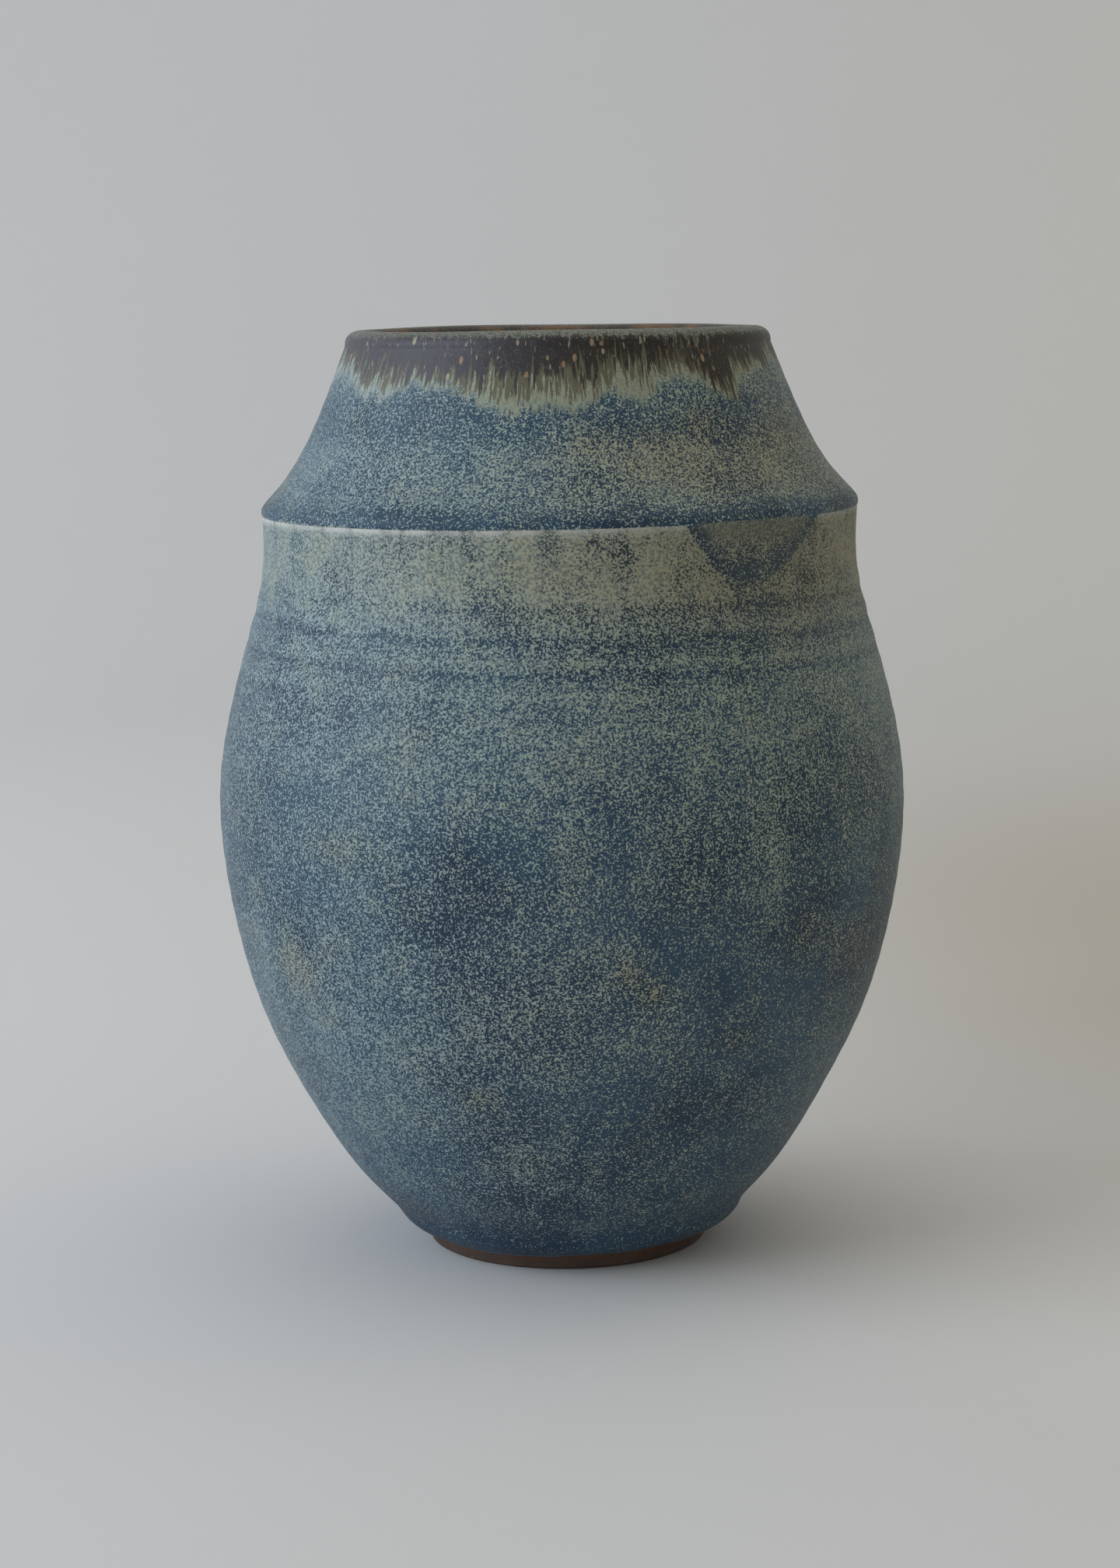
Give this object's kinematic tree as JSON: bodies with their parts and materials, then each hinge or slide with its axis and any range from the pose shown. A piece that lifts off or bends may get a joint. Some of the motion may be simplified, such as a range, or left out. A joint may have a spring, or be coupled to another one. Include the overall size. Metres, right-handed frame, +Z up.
{
  "type": "stoneware pottery vase",
  "caption": "Wheel-thrown stoneware vase with a full belly, a sharp shoulder ridge, a flared shoulder, a wide round mouth and a small turned foot, in speckled blue glaze with a dark rim.",
  "frame": {"origin": "centre of the foot ring, on the surface that the vase stands on", "axes": "+Z up along the axis the vase was thrown on, -Y towards the side with the glaze run on its right, +X to that side's right"},
  "size_m": [0.2162, 0.2162, 0.29],
  "materials": {
    "clay": "bare dark-brown stoneware, matte",
    "blue_glaze": "satin matte, speckled",
    "rim_glaze": "satin, dark brown-black",
    "liner_glaze": "satin, rust brown and olive"
  },
  "bodies": {
    "root": {"lower_body": "clay", "shoulder_section": "clay", "belly_glaze": "blue_glaze", "shoulder_glaze": "blue_glaze", "rim_glaze": "rim_glaze", "liner_glaze": "liner_glaze", "glaze_run": "blue_glaze"}
  },
  "joints": []
}
